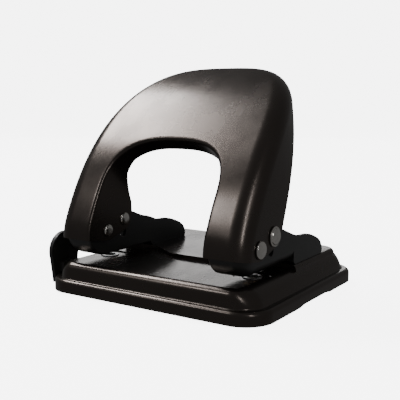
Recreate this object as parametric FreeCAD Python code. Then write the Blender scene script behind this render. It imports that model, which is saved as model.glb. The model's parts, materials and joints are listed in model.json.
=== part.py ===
import FreeCAD, Part
import math
import os

# Two-hole desk punch. Millimetres. X runs to the user's right, Y to the back and Z up.
# The origin is the centre of the base's footprint, on the surface the punch stands on.

V = FreeCAD.Vector

# ---- holes in the paper ----
HOLE_SPACING = 80.0
PUNCH_X = HOLE_SPACING / 2
PUNCH_Y = -24.5
PUNCH_RADIUS = 2.75

# ---- pressed base ----
SHEET = 1.2
BAND_HALF_WIDTH = 58.1
BAND_FRONT = -52.6
BAND_BACK = 52.6
BAND_CORNER = 13.7
BAND_FLOOR = 1.2
LEDGE_Z = 7.2
LEDGE_ROUND = 1.6
TOP_HALF_WIDTH = 53.9
TOP_FRONT = -50.4
TOP_BACK = 49.8
TOP_CORNER = 11.0
TOP_Z = 15.3
END_ROUND = 3.4
SIDE_ROUND = 8.8
STOP_RISE = 1.6
LAND_Z = TOP_Z + STOP_RISE
STOP_FRONT = -12.4
STOP_NEAR_HALF = 12.5
STOP_FAR_HALF = 27.5
STOP_SHOULDER = -2.5
STOP_EDGE = 0.6
LAND_HALF = 50.2
LAND_BACK = 47.6
LAND_CORNER = 9.0
LAND_ROUND = 2.2
LAND_SUNK = 4.0
DIMPLE_RADIUS = 7.8
DIMPLE_DEPTH = 0.5
NOTCH_Y = 2.0
NOTCH_HALF = 16.0
NOTCH_RISE = 1.4

# ---- die rings ----
DIE_RADIUS = 4.5
DIE_BORE = PUNCH_RADIUS + 0.05
DIE_TOP = TOP_Z - 0.1
DIE_FLANGE_RADIUS = 5.5
DIE_FLANGE_HEIGHT = 1.4

# ---- lever geometry, seen from the side ----
PIVOT_Y = -36.8
PIVOT_Z = 29.9
DRIVE_Z = 33.7
DRIVE_Y = PUNCH_Y
PIN_RADIUS = 2.0
HANDLE_TRAVEL = 30.0

# ---- folded brackets ----
BRACKET_X = 40.3
BRACKET_WIDTH = 16.9
BRACKET_SHEET = 1.5
NOSE_RADIUS = 11.7
NOSE_TOP_ANGLE = 165.0
NOSE_CORNER = 5.6
NOSE_INNER_CORNER = 1.0
WEB_Z = PIVOT_Z - NOSE_RADIUS
FOOT_FRONT = -0.5
FOOT_STEP = 1.5
FOOT_BACK = 28.4
FOOT_RIVETS_Y = (6.0, 21.0)
SLOT_CLEARANCE = 0.35

# ---- punches, bushes and springs ----
PUNCH_TIP_Z = WEB_Z + 0.45
PUNCH_HEAD_RADIUS = 5.5
PUNCH_HEAD_TOP = DRIVE_Z - PIN_RADIUS - 0.05
PUNCH_HEAD_HEIGHT = 1.7
BUSH_RADIUS = 4.2
BUSH_TOP = 22.6
SPRING_RADIUS = 4.85
SPRING_WIRE = 0.4
SPRING_PITCH = 2.4

# ---- handle ----
HANDLE_SHEET = 1.0
LEG_OUTER_X = 50.4
LEG_INNER_X = 30.55
CROWN_HALF_WIDTH = 50.2
FOOT_ARC = 12.0
FOOT_LEAN = -4.0
NECK_LEAN = 22.3
NECK_Y = -48.4
NECK_Z = 36.5
FACE_RADIUS = 131.8
CROWN_START = 22.5
CROWN_LENGTH = 116.3
CROWN_POWER = 3.03
WINDOW_START = 28.5
WINDOW_LENGTH = 55.2
WINDOW_POWER = 2.65
OUTER_FOLD = 7.8
INNER_FOLD = 1.6
REAR_Y = -16.5
REAR_Z = 36.1
REAR_SLOPE = 0.41
CROWN_DEPTH = 9.0
WINDOW_FLANGE = ((25.0, 27.6), (31.4, 24.2), (36.0, 19.0), (42.0, 12.2), (48.0, 8.8), (55.2, 7.6))
CROWN_SECTIONS = 16

# ---- paper guide ----
GUIDE_Y = -35.8
GUIDE_BAR_WIDTH = 8.0
GUIDE_BAR_Z = 9.0
GUIDE_BAR_THICK = 2.0
GUIDE_BAR_END = 45.0
GUIDE_TAB_X = -61.0
GUIDE_TAB_THICK = 2.1
GUIDE_TAB_HALF = 9.3
GUIDE_TAB_FOOT_HALF = 7.1
GUIDE_TAB_FOOT_Z = 2.2
GUIDE_TAB_SHOULDER_Z = 17.2
RAIL_START = -50.2
RAIL_END = 20.0
RAIL_WALL = 0.9
RAIL_FLOOR = 0.8
RAIL_GAP = 0.15

LEAF_THICK = 0.3
LEAF_WIDTH = 5.0

# ---- chip tray and pad ----
TRAY_FLOOR_Z = 0.8
TRAY_FLOOR_THICK = 1.4
TRAY_GAP = 0.4
TRAY_WALL = 1.2
TRAY_WALL_TOP = 7.4
PAD_HALF_X = 43.0
PAD_HALF_Y = 38.0

FAR = 100.0


def save(shape, node):
    """Writes one node, after checking that it is sound."""
    shape = shape.removeSplitter()
    if not shape.isValid():
        raise ValueError(node + " is not a valid shape")
    shape.exportStep("parts/" + node + ".step")
    print(node, len(shape.Solids), "solid(s)", round(shape.Volume, 1), "mm3")


def mirrored(shape):
    """The same piece on the other side of the centre plane."""
    return shape.mirror(V(0, 0, 0), V(1, 0, 0))


def rounded_block(half_x, y0, y1, radius, z0, z1):
    """Upright block with rounded corners in plan."""
    block = Part.makeBox(2 * half_x, y1 - y0, z1 - z0, V(-half_x, y0, z0))
    corners = [e for e in block.Edges if abs(e.Vertexes[0].Z - e.Vertexes[1].Z) > (z1 - z0) / 2]
    return block.makeFillet(radius, corners)


def edges_at(shape, z):
    """The edges of a shape that lie level at one height."""
    return [e for e in shape.Edges if abs(e.BoundBox.ZMin - z) < 1e-4 and abs(e.BoundBox.ZMax - z) < 1e-4]


def along_x(face_wire, x0, x1):
    """A closed outline in a YZ plane at x0, swept to x1."""
    return Part.Face(face_wire).extrude(V(x1 - x0, 0, 0))


def polygon_yz(points, x):
    """A closed polygon from (y, z) points in the plane at x."""
    corners = [V(x, y, z) for y, z in points]
    return Part.makePolygon(corners + corners[:1])


def rod_x(radius, y, z, x0, x1):
    """A round bar along X."""
    return Part.makeCylinder(radius, x1 - x0, V(x0, y, z), V(1, 0, 0))


def disc(radius, x, y, z0, z1):
    """A round upright plug."""
    return Part.makeCylinder(radius, z1 - z0, V(x, y, z0))


def dome_x(radius, height, y, z, x, direction):
    """A low domed rivet head standing on the plane at x."""
    ball = (radius * radius + height * height) / (2 * height)
    centre = V(x + direction * (height - ball), y, z)
    cap = Part.makeSphere(ball, centre)
    keep = Part.makeCylinder(radius, height + 1, V(x, y, z), V(direction, 0, 0))
    return cap.common(keep)


def dome_z(radius, height, x, y, z):
    """A low domed rivet head standing on the plane at z."""
    ball = (radius * radius + height * height) / (2 * height)
    cap = Part.makeSphere(ball, V(x, y, z + height - ball))
    return cap.common(Part.makeCylinder(radius, height + 1, V(x, y, z)))


# ---------------------------------------------------------------- base

def rim_inset(radius, below):
    """How far a rounded rim has drawn in from its wall, at a depth below its top."""
    rise = max(radius - below, 0.0)
    return radius - math.sqrt(radius * radius - rise * rise)


def rim_radius(turn):
    """The rim's rounding round a corner: full at the side, tight at the front and back edges."""
    share = min(max((turn - 25.0) / 65.0, 0.0), 1.0)
    return SIDE_ROUND + (END_ROUND - SIDE_ROUND) * share * share * (3 - 2 * share)


def rim_outline(z, inset):
    """The top block's outline at one height, drawn in by an inset."""
    corner = TOP_CORNER - inset
    cx = TOP_HALF_WIDTH - TOP_CORNER
    below = TOP_Z - inset - z
    quarter = []
    for turn in range(0, 100, 10):
        reach = corner - rim_inset(rim_radius(turn) - inset, below)
        quarter.append((reach * math.cos(math.radians(turn)), reach * math.sin(math.radians(turn))))
    corners = []
    for sx, sy, cy in ((1, -1, TOP_FRONT + TOP_CORNER), (1, 1, TOP_BACK - TOP_CORNER),
                       (-1, 1, TOP_BACK - TOP_CORNER), (-1, -1, TOP_FRONT + TOP_CORNER)):
        points = [V(sx * (cx + x), cy + sy * y, z) for x, y in quarter]
        if sx == sy:
            corners.append((points, V(0, sy, 0), V(-sx, 0, 0)))
        else:
            corners.append((points[::-1], V(sx, 0, 0), V(0, -sy, 0)))
    edges = []
    for (points, start, end), (following, _, _) in zip(corners, corners[1:] + corners[:1]):
        curve = Part.BSplineCurve()
        curve.interpolate(Points=points, InitialTangent=start, FinalTangent=end)
        edges += [curve.toShape(), Part.makeLine(points[-1], following[0])]
    return Part.Wire(edges)


def top_block(inset, floor_z):
    """The base's upper step, its rim rounded more at the sides than at the front and back."""
    radius = SIDE_ROUND - inset
    start = TOP_Z - inset - radius
    heights = [start + radius * math.sin(math.radians(turn)) for turn in (0, 9, 18, 27, 36, 45, 54, 63, 72, 81, 86, 90)]
    rim = Part.makeLoft([rim_outline(z, inset) for z in heights], True, False)
    return rim.fuse(Part.Face(rim_outline(start, inset)).extrude(V(0, 0, floor_z - start)))


def stepped_body(inset, floor_z, ledge_round):
    """The base's stepped outline, drawn in by the sheet's thickness for its inside."""
    band = rounded_block(BAND_HALF_WIDTH - inset, BAND_FRONT + inset, BAND_BACK - inset,
                         BAND_CORNER - inset, floor_z, LEDGE_Z - inset)
    band = band.makeFillet(ledge_round, edges_at(band, LEDGE_Z - inset))
    return band.fuse(top_block(inset, floor_z)).fuse(rear_land(inset))


def rear_land(inset):
    """The raised rear half of the top, whose front edge is the stop that the paper is pushed against."""
    near, far, side = STOP_NEAR_HALF - inset / 2, STOP_FAR_HALF - inset / 2, LAND_HALF - inset
    front, shoulder, back = STOP_FRONT + inset, STOP_SHOULDER + inset, LAND_BACK - inset
    outline = [(-near, front), (near, front), (far, shoulder), (side, shoulder), (side, back),
               (-side, back), (-side, shoulder), (-far, shoulder)]
    top = LAND_Z - inset
    corners = [V(x, y, TOP_Z - LAND_SUNK) for x, y in outline]
    land = Part.Face(Part.makePolygon(corners + corners[:1])).extrude(V(0, 0, top - TOP_Z + LAND_SUNK))
    upright = [e for e in land.Edges if e.BoundBox.ZLength > 1 and e.BoundBox.YMin > back - 0.1]
    land = land.makeFillet(LAND_CORNER - inset, upright)
    rim = [e for e in edges_at(land, top) if e.BoundBox.YMax > shoulder + 1]
    rim = [e for e in rim if e.BoundBox.YMin > shoulder - 0.1]
    return land.makeFillet(LAND_ROUND - inset, rim)


def guide_slot():
    """The window in the left wall that the paper guide's bar slides through."""
    half = GUIDE_BAR_WIDTH / 2 + 0.4
    low = GUIDE_BAR_Z - 0.3
    return Part.makeBox(8, 2 * half, GUIDE_BAR_THICK + 0.6, V(-TOP_HALF_WIDTH - 3, GUIDE_Y - half, low))


def finger_notch():
    """The shallow scallop in the right rim where the tray is prised off."""
    radius = (NOTCH_HALF ** 2 + NOTCH_RISE ** 2) / (2 * NOTCH_RISE)
    centre_z = BAND_FLOOR + NOTCH_RISE - radius
    return rod_x(radius, NOTCH_Y, centre_z, BAND_HALF_WIDTH - 5, BAND_HALF_WIDTH + 5)


def base_cover():
    cover = stepped_body(0, BAND_FLOOR, LEDGE_ROUND)
    cover = cover.cut(stepped_body(SHEET, BAND_FLOOR - 1, LEDGE_ROUND / 2))
    for x in (-PUNCH_X, PUNCH_X):
        under = TOP_Z - SHEET
        cover = cover.fuse(disc(DIMPLE_RADIUS, x, PUNCH_Y, under - DIMPLE_DEPTH, under + 0.1))
        rim = DIMPLE_RADIUS + DIMPLE_DEPTH
        bowl = Part.makeCone(DIMPLE_RADIUS, rim + DIMPLE_DEPTH, 2 * DIMPLE_DEPTH,
                             V(x, PUNCH_Y, TOP_Z - DIMPLE_DEPTH))
        cover = cover.cut(bowl)
        cover = cover.cut(disc(DIE_RADIUS, x, PUNCH_Y, 0, FAR))
    for x in (-BRACKET_X, BRACKET_X):
        for y in FOOT_RIVETS_Y:
            cover = cover.cut(disc(PIN_RADIUS, x, y, 0, FAR))
    return cover.cut(guide_slot()).cut(finger_notch())


def die_ring(x):
    """A hardened ring that the paper is sheared against."""
    flange_top = TOP_Z - SHEET - DIMPLE_DEPTH
    ring = disc(DIE_RADIUS, x, PUNCH_Y, flange_top - DIE_FLANGE_HEIGHT, DIE_TOP)
    ring = ring.makeChamfer(0.3, edges_at(ring, DIE_TOP))
    ring = ring.fuse(disc(DIE_FLANGE_RADIUS, x, PUNCH_Y, flange_top - DIE_FLANGE_HEIGHT, flange_top))
    return ring.cut(disc(DIE_BORE, x, PUNCH_Y, 0, FAR))


# ---------------------------------------------------------------- brackets

def on_nose(radius, angle):
    """A point on a circle about the pivot, seen from the side."""
    turn = math.radians(angle)
    return PIVOT_Y + radius * math.cos(turn), PIVOT_Z + radius * math.sin(turn)


def bracket_side_outline(x):
    """Side view of a bracket's crest: heel, tail, dip, hump and nose, closed well below."""
    def at(y, z):
        return V(x, y, z)

    below = WEB_Z - 5
    nose = at(*on_nose(NOSE_RADIUS, NOSE_TOP_ANGLE))
    heel = at(FOOT_BACK, LAND_Z)
    crest = [heel, at(28.8, 19.6), at(27.6, 22.3), at(24.0, 25.0), at(19.0, 27.1), at(12.0, 29.0), at(3.0, 29.7),
             at(-5.8, 32.2), at(-13.8, 35.2), at(-19.8, 37.2), at(-29.8, 37.9), at(-38.8, 36.9), nose]
    top = Part.BSplineCurve()
    top.interpolate(crest)
    corners = [nose, at(nose.y - 5, below), at(FOOT_BACK, below), heel]
    edges = [top.toShape()] + [Part.makeLine(a, b) for a, b in zip(corners, corners[1:])]
    return Part.Wire(edges)


def side_edges(shape, x, low):
    """The edges of a shape that lie in the plane at x, no higher than low."""
    return [e for e in shape.Edges
            if abs(e.BoundBox.XMin - x) < 0.01 and abs(e.BoundBox.XMax - x) < 0.01 and e.BoundBox.ZMax < low]


def channel_body(inset):
    """The channel before its crest is cut: a drum round the pivot, a level run and a lower foot."""
    radius = NOSE_RADIUS - inset
    floor = PIVOT_Z - radius
    x0 = BRACKET_X - BRACKET_WIDTH / 2 + inset
    x1 = BRACKET_X + BRACKET_WIDTH / 2 - inset
    step_y = FOOT_FRONT - FOOT_STEP + inset / 2
    drum = rod_x(radius, PIVOT_Y, PIVOT_Z, x0, x1)
    run = Part.makeBox(x1 - x0, step_y + FAR, FAR, V(x0, PIVOT_Y, floor))
    for x, corner in ((x1, NOSE_CORNER - inset), (x0, NOSE_INNER_CORNER - inset / 2)):
        drum = drum.makeFillet(corner, side_edges(drum, x, FAR))
        run = run.makeFillet(corner, side_edges(run, x, floor + 0.1))
    drum = drum.common(Part.makeBox(FAR, FAR, FAR, V(0, PIVOT_Y - FAR, 0)))
    run = run.common(Part.makeBox(FAR, step_y - PIVOT_Y, FAR, V(0, PIVOT_Y, 0)))
    foot = [(step_y, floor), (FOOT_FRONT + inset / 2, LAND_Z + inset), (FAR, LAND_Z + inset), (FAR, FAR), (step_y, FAR)]
    return drum.fuse(run).fuse(along_x(polygon_yz(foot, x0), x0, x1))


def drive_slot(x0, x1):
    """The curved slot that the drive pin travels in, from rest to full stroke."""
    reach = math.hypot(DRIVE_Y - PIVOT_Y, DRIVE_Z - PIVOT_Z)
    high = math.degrees(math.atan2(DRIVE_Z - PIVOT_Z, DRIVE_Y - PIVOT_Y))
    low = high - HANDLE_TRAVEL
    half = PIN_RADIUS + SLOT_CLEARANCE

    def at(radius, angle):
        y, z = on_nose(radius, angle)
        return V(x0, y, z)

    middle = (high + low) / 2
    outer = Part.Arc(at(reach + half, high), at(reach + half, middle), at(reach + half, low)).toShape()
    inner = Part.Arc(at(reach - half, low), at(reach - half, middle), at(reach - half, high)).toShape()
    ends = [Part.makeLine(at(reach + half, low), at(reach - half, low)),
            Part.makeLine(at(reach - half, high), at(reach + half, high))]
    slot = along_x(Part.Wire([outer, ends[0], inner, ends[1]]), x0, x1)
    for angle in (high, low):
        y, z = on_nose(reach, angle)
        slot = slot.fuse(rod_x(half, y, z, x0, x1))
    return slot


def bracket():
    """The right-hand bracket, a folded channel that carries the pivot and guides the punch."""
    x0 = BRACKET_X - BRACKET_WIDTH / 2
    x1 = BRACKET_X + BRACKET_WIDTH / 2
    crest = along_x(bracket_side_outline(x0 - 1), x0 - 1, x1 + 1)
    channel = channel_body(0).common(crest).cut(channel_body(BRACKET_SHEET))
    channel = channel.cut(drive_slot(x0 - 1, x1 + 1))
    channel = channel.cut(rod_x(PIN_RADIUS, PIVOT_Y, PIVOT_Z, x0 - 1, x1 + 1))
    channel = channel.cut(disc(BUSH_RADIUS, PUNCH_X, PUNCH_Y, WEB_Z - 1, WEB_Z + BRACKET_SHEET + 1))
    for y in FOOT_RIVETS_Y:
        channel = channel.cut(disc(PIN_RADIUS, BRACKET_X, y, 0, LAND_Z + BRACKET_SHEET + 1))
    return channel


def bracket_rivets():
    """The two rivets that clamp a bracket's foot to the base."""
    rivets = []
    for y in FOOT_RIVETS_Y:
        web_top = LAND_Z + BRACKET_SHEET
        under = LAND_Z - SHEET
        rivet = disc(PIN_RADIUS, BRACKET_X, y, under - 1.0, web_top)
        rivet = rivet.fuse(dome_z(3.4, 1.3, BRACKET_X, y, web_top))
        rivet = rivet.fuse(disc(3.0, BRACKET_X, y, under - 1.0, under))
        rivets.append(rivet)
    return Part.makeCompound(rivets)


def guide_bush():
    """The bush pressed in the bracket's web, in which the punch slides."""
    bush = disc(BUSH_RADIUS, PUNCH_X, PUNCH_Y, WEB_Z, BUSH_TOP)
    bush = bush.makeChamfer(0.4, edges_at(bush, BUSH_TOP))
    return bush.cut(disc(PUNCH_RADIUS + 0.05, PUNCH_X, PUNCH_Y, 0, FAR))


# ---------------------------------------------------------------- punches and pins

def punch():
    """A punch with a flat head and a tip hollowed so that it shears the paper progressively."""
    head_foot = PUNCH_HEAD_TOP - PUNCH_HEAD_HEIGHT
    pin = disc(PUNCH_RADIUS, PUNCH_X, PUNCH_Y, PUNCH_TIP_Z, head_foot)
    pin = pin.cut(rod_x(PUNCH_RADIUS + 1.2, PUNCH_Y, PUNCH_TIP_Z - 2.6, PUNCH_X - 5, PUNCH_X + 5))
    head = disc(PUNCH_HEAD_RADIUS, PUNCH_X, PUNCH_Y, head_foot, PUNCH_HEAD_TOP)
    return pin.fuse(head.makeChamfer(0.3, edges_at(head, PUNCH_HEAD_TOP)))


def punch_spring():
    """The compression spring between the bracket's web and the punch's head."""
    low = WEB_Z + BRACKET_SHEET + SPRING_WIRE + 0.02
    high = PUNCH_HEAD_TOP - PUNCH_HEAD_HEIGHT - SPRING_WIRE - 0.02
    path = Part.makeHelix(SPRING_PITCH, high - low, SPRING_RADIUS)
    section = Part.Wire(Part.makeCircle(SPRING_WIRE, V(SPRING_RADIUS, 0, 0), V(0, 1, 0)))
    spring = Part.Wire(path).makePipeShell([section], True, True)
    spring.rotate(V(0, 0, 0), V(0, 0, 1), 180)
    spring.translate(V(PUNCH_X, PUNCH_Y, low))
    return spring


def pivot_pin():
    """The rivet that the handle's leg turns on, fixed in the bracket."""
    gap = 0.15
    inner = LEG_INNER_X - gap
    outer = LEG_OUTER_X + gap
    pin = rod_x(PIN_RADIUS, PIVOT_Y, PIVOT_Z, inner, outer)
    pin = pin.fuse(dome_x(3.9, 1.7, PIVOT_Y, PIVOT_Z, outer, 1))
    return pin.fuse(dome_x(3.0, 1.2, PIVOT_Y, PIVOT_Z, inner, -1))


def drive_pin():
    """The headed pin in the handle's leg that pushes the punch down."""
    pin = rod_x(PIN_RADIUS, DRIVE_Y, DRIVE_Z, LEG_INNER_X, LEG_OUTER_X)
    collar = rod_x(4.4, DRIVE_Y, DRIVE_Z, LEG_OUTER_X, LEG_OUTER_X + 0.8)
    pin = pin.fuse(collar)
    pin = pin.fuse(dome_x(3.7, 1.3, DRIVE_Y, DRIVE_Z, LEG_OUTER_X + 0.8, 1))
    return pin.fuse(dome_x(3.2, 1.2, DRIVE_Y, DRIVE_Z, LEG_INNER_X, -1))


# ---------------------------------------------------------------- handle

def face_point(s):
    """Side view of the handle's face: height along it gives (y, z, lean in radians)."""
    neck = math.radians(NECK_LEAN)
    if s >= FOOT_ARC:
        lean = neck + (s - FOOT_ARC) / FACE_RADIUS
        radius = FACE_RADIUS
    else:
        turn = (neck - math.radians(FOOT_LEAN)) / FOOT_ARC
        lean = neck + (s - FOOT_ARC) * turn
        radius = 1 / turn
    y = NECK_Y + radius * (math.cos(neck) - math.cos(lean))
    z = NECK_Z + radius * (math.sin(lean) - math.sin(neck))
    return y, z, lean


def pressed(x, s, depth):
    """A point of the pressing: across, up along the face, and back from it."""
    y, z, lean = face_point(s)
    back = max(lean, math.radians(NECK_LEAN))
    return V(x, y + depth * math.cos(back), z - depth * math.sin(back))


def rear_depth(s):
    """How far back the outer flange reaches at a height, to its straight rear edge."""
    y, z, lean = face_point(s)
    back = max(lean, math.radians(NECK_LEAN))
    reach = REAR_Y + REAR_SLOPE * (z - REAR_Z) - y
    return max(CROWN_DEPTH, reach / (math.cos(back) + REAR_SLOPE * math.sin(back)))


def window_depth(s):
    """How far back the window's flange reaches at a height."""
    first, last = WINDOW_FLANGE[0], WINDOW_FLANGE[-1]
    if s <= first[0]:
        return first[1]
    for (s0, d0), (s1, d1) in zip(WINDOW_FLANGE, WINDOW_FLANGE[1:]):
        if s <= s1:
            return d0 + (d1 - d0) * (s - s0) / (s1 - s0)
    return last[1]


def crown(half_width, start, length, power, count):
    """Evenly spaced points up a superellipse, each with its inward normal."""
    fine = 4000
    points = []
    for i in range(fine + 1):
        t = math.pi / 2 * i / fine
        x = half_width * math.cos(t) ** (2 / power)
        s = start + (length - start) * math.sin(t) ** (2 / power)
        points.append((x, s))
    points[-1] = (0.0, length)
    run = [0.0]
    for (xa, sa), (xb, sb) in zip(points, points[1:]):
        run.append(run[-1] + math.hypot(xb - xa, sb - sa))
    chosen = []
    for k in range(count + 1):
        target = run[-1] * k / count
        i = min(range(len(run)), key=lambda n: abs(run[n] - target))
        x, s = points[i]
        a = max(x / half_width, 0) ** (power - 1) / half_width
        b = max((s - start) / (length - start), 0) ** (power - 1) / (length - start)
        size = math.hypot(a, b)
        chosen.append((x, s, -a / size, -b / size))
    return chosen


def handle_stations():
    """Pairs of outer and window outline points, from the right leg's foot to the centre."""
    stations = []
    for s in (0.0, 3.0, 6.0, 9.0, 12.0, 17.0):
        share = s / CROWN_START
        width = LEG_OUTER_X + (CROWN_HALF_WIDTH - LEG_OUTER_X) * share
        stations.append(((width, s, -1.0, 0.0), (LEG_INNER_X, s / CROWN_START * WINDOW_START, 1.0, 0.0)))
    outer = crown(CROWN_HALF_WIDTH, CROWN_START, CROWN_LENGTH, CROWN_POWER, CROWN_SECTIONS)
    window = crown(LEG_INNER_X, WINDOW_START, WINDOW_LENGTH, WINDOW_POWER, CROWN_SECTIONS)
    for far, near in zip(outer, window):
        x, s, nx, ns = near
        stations.append((far, (x, s, -nx, -ns)))
    return stations


def fold(outline_point, radius, sheet, depth_end, steps):
    """Flange and fold beside an outline point, from the flange's edge in to the face."""
    x, s, nx, ns = outline_point
    inner = radius - sheet

    def place(offset, depth):
        return pressed(x + nx * offset, s + ns * offset, depth)

    flange = [place(sheet, depth_end), place(sheet, (depth_end + radius) / 2), place(sheet, radius)]
    bend = []
    for k in range(steps + 1):
        turn = math.pi / 2 * k / steps
        bend.append(place(radius - inner * math.cos(turn), radius - inner * math.sin(turn)))
    return flange, bend


def face_span(outer_point, window_point, sheet):
    """The face between the two folds."""
    xa, sa, nxa, nsa = outer_point
    xb, sb, nxb, nsb = window_point
    start = (xa + nxa * OUTER_FOLD, sa + nsa * OUTER_FOLD)
    end = (xb + nxb * INNER_FOLD, sb + nsb * INNER_FOLD)
    steps = 6
    span = []
    for k in range(steps + 1):
        share = k / steps
        x = start[0] + (end[0] - start[0]) * share
        s = start[1] + (end[1] - start[1]) * share
        span.append(pressed(x, s, sheet))
    return span


def smooth_edge(points):
    """A curve through points, timed evenly so that neighbouring sections match."""
    curve = Part.BSplineCurve()
    times = [k / (len(points) - 1) for k in range(len(points))]
    curve.interpolate(Points=points, Parameters=times)
    return curve.toShape()


def handle_section(station, side):
    """One closed section through the pressed sheet."""
    outer_point, window_point = station
    skins = []
    for sheet in (0.0, HANDLE_SHEET):
        outer_flange, outer_bend = fold(outer_point, OUTER_FOLD, sheet, rear_depth(outer_point[1]), 6)
        window_flange, window_bend = fold(window_point, INNER_FOLD, sheet, window_depth(window_point[1]), 4)
        span = face_span(outer_point, window_point, sheet)
        runs = [outer_flange, outer_bend, span, window_bend[::-1], window_flange[::-1]]
        runs = [[V(side * p.x, p.y, p.z) for p in run] for run in runs]
        skins.append(runs)
    front, back = skins
    edges = [smooth_edge(run) for run in front]
    edges.append(Part.makeLine(front[-1][-1], back[-1][-1]))
    edges += [smooth_edge(run[::-1]) for run in back[::-1]]
    edges.append(Part.makeLine(back[0][0], front[0][0]))
    return Part.Wire(edges)


def foot_trim():
    """What is cut from below the legs: their lower edge dips round the two pins."""
    outline = [(-62, 27.2), (-44, 26.7), (-39.5, 25.3), (-35.4, 25.1), (-22.6, 28.9),
               (-18.6, 31.0), (-17.2, 34.2), (0, 34.2), (0, 5), (-62, 5)]
    return along_x(polygon_yz(outline, -FAR), -FAR, FAR)


def handle():
    """The arched handle, pressed from one sheet, with a folded flange all round."""
    stations = handle_stations()
    sections = [handle_section(station, 1) for station in stations]
    sections += [handle_section(station, -1) for station in stations[-2::-1]]
    shell = Part.makeLoft(sections, True, False)
    shell = shell.cut(foot_trim())
    for side in (1, -1):
        x0 = min(side * (LEG_INNER_X - 2), side * (LEG_OUTER_X + 2))
        x1 = x0 + LEG_OUTER_X - LEG_INNER_X + 4
        shell = shell.cut(rod_x(PIN_RADIUS + 0.06, PIVOT_Y, PIVOT_Z, x0, x1))
        shell = shell.cut(rod_x(PIN_RADIUS, DRIVE_Y, DRIVE_Z, x0, x1))
    return shell


# ---------------------------------------------------------------- paper guide

def paper_guide_tab():
    """The upright stop at the left that the sheet's edge is laid against."""
    x1 = GUIDE_TAB_X + GUIDE_TAB_THICK
    low = GUIDE_TAB_FOOT_Z
    corners = [(GUIDE_Y - GUIDE_TAB_FOOT_HALF, low), (GUIDE_Y + GUIDE_TAB_FOOT_HALF, low),
               (GUIDE_Y + GUIDE_TAB_HALF, GUIDE_TAB_SHOULDER_Z), (GUIDE_Y - GUIDE_TAB_HALF, GUIDE_TAB_SHOULDER_Z)]
    tab = along_x(polygon_yz(corners, GUIDE_TAB_X), GUIDE_TAB_X, x1)
    tab = tab.fuse(rod_x(GUIDE_TAB_HALF, GUIDE_Y, GUIDE_TAB_SHOULDER_Z, GUIDE_TAB_X, x1))
    half = GUIDE_BAR_WIDTH / 2 + 1.4
    boss = Part.makeBox(3.9, 2 * half, 4.8, V(x1, GUIDE_Y - half, GUIDE_BAR_Z - 1.4))
    socket = Part.makeBox(FAR, GUIDE_BAR_WIDTH, GUIDE_BAR_THICK, V(x1, GUIDE_Y - GUIDE_BAR_WIDTH / 2, GUIDE_BAR_Z))
    return tab.fuse(boss).cut(socket)


def paper_guide_bar():
    """The flat bar that carries the stop, with three grooves for the paper sizes."""
    x0 = GUIDE_TAB_X + GUIDE_TAB_THICK
    bar = Part.makeBox(GUIDE_BAR_END - x0, GUIDE_BAR_WIDTH, GUIDE_BAR_THICK,
                       V(x0, GUIDE_Y - GUIDE_BAR_WIDTH / 2, GUIDE_BAR_Z))
    for x in (-10.0, 12.0, 34.0):
        groove = Part.makeCylinder(0.8, GUIDE_BAR_WIDTH, V(x, GUIDE_Y - GUIDE_BAR_WIDTH / 2,
                                                           GUIDE_BAR_Z + GUIDE_BAR_THICK + 0.4), V(0, 1, 0))
        bar = bar.cut(groove)
    return bar


def guide_rail():
    """The channel under the base's top that the bar slides in."""
    half = GUIDE_BAR_WIDTH / 2 + RAIL_GAP + RAIL_WALL
    low = GUIDE_BAR_Z - RAIL_GAP - RAIL_FLOOR
    rail = Part.makeBox(RAIL_END - RAIL_START, 2 * half, TOP_Z - SHEET - low, V(RAIL_START, GUIDE_Y - half, low))
    run = GUIDE_BAR_WIDTH / 2 + RAIL_GAP
    rail = rail.cut(Part.makeBox(FAR, 2 * run, GUIDE_BAR_THICK + 2 * RAIL_GAP,
                                 V(RAIL_START - 1, GUIDE_Y - run, GUIDE_BAR_Z - RAIL_GAP)))
    pocket = Part.makeBox(26, 2 * run, FAR, V(-23, GUIDE_Y - run, GUIDE_BAR_Z + GUIDE_BAR_THICK))
    relief = disc(DIMPLE_RADIUS + 0.1, -PUNCH_X, PUNCH_Y, TOP_Z - SHEET - DIMPLE_DEPTH - 0.1, FAR)
    return rail.cut(pocket).cut(relief).common(top_block(SHEET, low - 1))


def guide_detent_spring():
    """The leaf that clicks into the bar's grooves."""
    low = GUIDE_BAR_Z + GUIDE_BAR_THICK + 0.1
    high = TOP_Z - SHEET
    leaf = LEAF_THICK
    half = LEAF_WIDTH / 2

    def at(x, z):
        return V(x, GUIDE_Y - half, z)

    under = Part.Arc(at(-21, high - leaf), at(-10, low), at(1, high - leaf)).toShape()
    over = Part.Arc(at(1, high), at(-10, low + leaf), at(-21, high)).toShape()
    ends = [Part.makeLine(at(1, high - leaf), at(1, high)), Part.makeLine(at(-21, high), at(-21, high - leaf))]
    return Part.Face(Part.Wire([under, ends[0], over, ends[1]])).extrude(V(0, 2 * half, 0))


# ---------------------------------------------------------------- tray

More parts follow.
